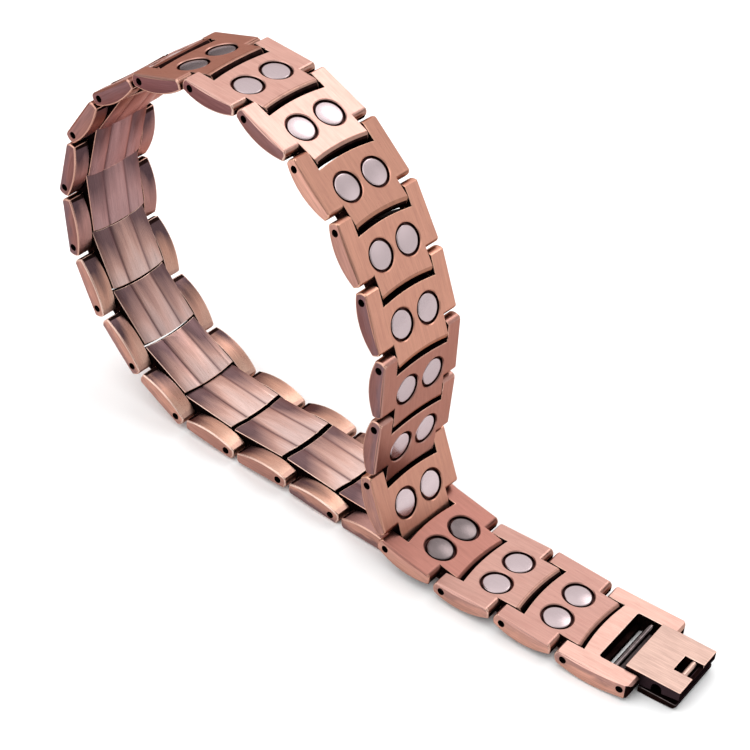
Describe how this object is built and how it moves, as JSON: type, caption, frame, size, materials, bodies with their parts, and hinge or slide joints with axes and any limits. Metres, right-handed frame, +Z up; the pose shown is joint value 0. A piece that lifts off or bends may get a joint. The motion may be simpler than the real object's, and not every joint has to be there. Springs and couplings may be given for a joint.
{
  "type": "magnetic link bracelet",
  "caption": "Wide hinged link bracelet with pairs of round magnets on its inner side and a fold-over clasp, lying in an upright loop.",
  "frame": {"origin": "middle of the outline, on the surface that the bracelet stands on", "axes": "+Z up, +X along the straight end towards the clasp, +Y across the band, away from the side that the picture shows"},
  "size_m": [0.1009, 0.0174, 0.0545],
  "materials": {
    "copper": "antique copper, brushed along the band, with dark patina in the recesses",
    "dark_copper": "copper with a dark patina",
    "magnet": "satin nickel plating",
    "pin": "darkened steel"
  },
  "bodies": {
    "band": {"end_frame": "copper", "frame_bar": "dark_copper", "clasp_pin": "pin", "catch_pin": "pin", "hinge_pins": "pin", "magnets": "magnet", "link_01": "copper", "link_02": "copper", "link_03": "copper", "link_04": "copper", "link_05": "copper", "link_06": "copper", "link_07": "copper", "link_08": "copper", "link_09": "copper", "link_10": "copper", "link_11": "copper", "link_12": "copper", "link_13": "copper", "link_14": "copper", "link_15": "copper", "link_16": "copper", "link_17": "copper", "link_18": "copper", "link_19": "copper", "link_20": "copper", "link_21": "copper", "link_22": "copper", "link_23": "copper"},
    "clasp_box": {"clasp_box": "copper"},
    "clasp_cover": {"clasp_cover": "dark_copper"}
  },
  "joints": [
    {"name": "box_hinge", "type": "hinge", "parent": "band", "child": "clasp_box", "pos_m": [0.04345, 0.00096, 0.00173], "axis": [-0.0854, 0.9963, 0], "range_deg": [-80, 0]},
    {"name": "cover_hinge", "type": "hinge", "parent": "band", "child": "clasp_cover", "pos_m": [0.04345, 0.00096, 0.00173], "axis": [-0.0854, 0.9963, 0], "range_deg": [0, 90]}
  ]
}
